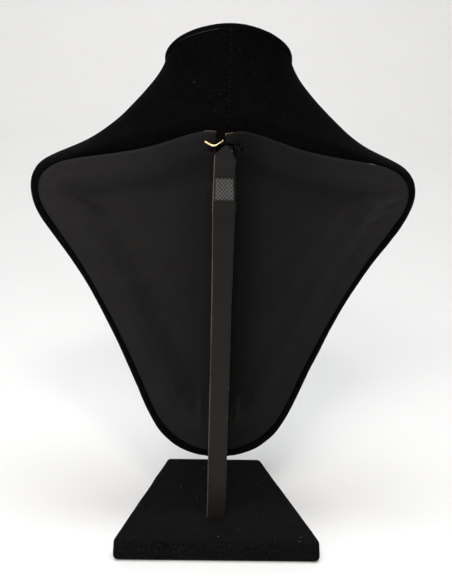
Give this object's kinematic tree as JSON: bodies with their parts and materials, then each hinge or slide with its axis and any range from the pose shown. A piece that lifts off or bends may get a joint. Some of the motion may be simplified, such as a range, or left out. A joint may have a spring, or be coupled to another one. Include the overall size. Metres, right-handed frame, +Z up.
{
  "type": "necklace display bust",
  "caption": "Velvet-covered necklace display bust with a hollow lined back, hung on a bent easel strut that plugs into a flat trapezoid base.",
  "frame": {"origin": "centre of the base's underside, where the stand rests", "axes": "+Z up; the chest faces -Y; the open, lined back and the strut face +Y; X across the shoulders"},
  "size_m": [0.2454, 0.13, 0.3458],
  "materials": {
    "bust_velvet": "black velvet pile, matt, lint-flecked",
    "base_velvet": "black velvet pile, matt, lint-flecked",
    "lining": "dark grey leatherette, satin, soft creases",
    "strut_facing": "dark brown-black embossed leatherette, satin",
    "strut_core": "plain spring steel strip",
    "shell": "moulded plastic, matt",
    "card": "grey-brown board",
    "fibreboard": "medium density fibreboard, unfinished",
    "elastic": "black elastic cord",
    "brass": "drawn brass wire, slightly worn",
    "thread": "black sewing thread"
  },
  "bodies": {
    "base": {"base_board": "fibreboard", "base_velvet": "base_velvet", "base_under_sheet": "card"},
    "strut": {"strut_core": "strut_core", "strut_facing_rear": "strut_facing", "strut_facing_front": "strut_facing"},
    "bust": {"bust_shell": "shell", "bust_velvet": "bust_velvet", "neck_cap_card": "card", "neck_cap_velvet": "bust_velvet", "back_board": "card", "back_lining": "lining", "back_stiffener": "fibreboard", "tie_cord": "elastic", "tie_knot": "elastic", "brass_toggle": "brass", "neck_seam_stitches": "thread"}
  },
  "joints": [
    {"name": "strut_lift", "type": "slide", "parent": "base", "child": "strut", "axis": [0, 0, 1], "range_m": [0, 0.0105]},
    {"name": "bust_tilt", "type": "hinge", "parent": "strut", "child": "bust", "pos_m": [0, 0.0205, 0.2695], "axis": [-1, 0, 0], "range_deg": [0, 12]}
  ]
}
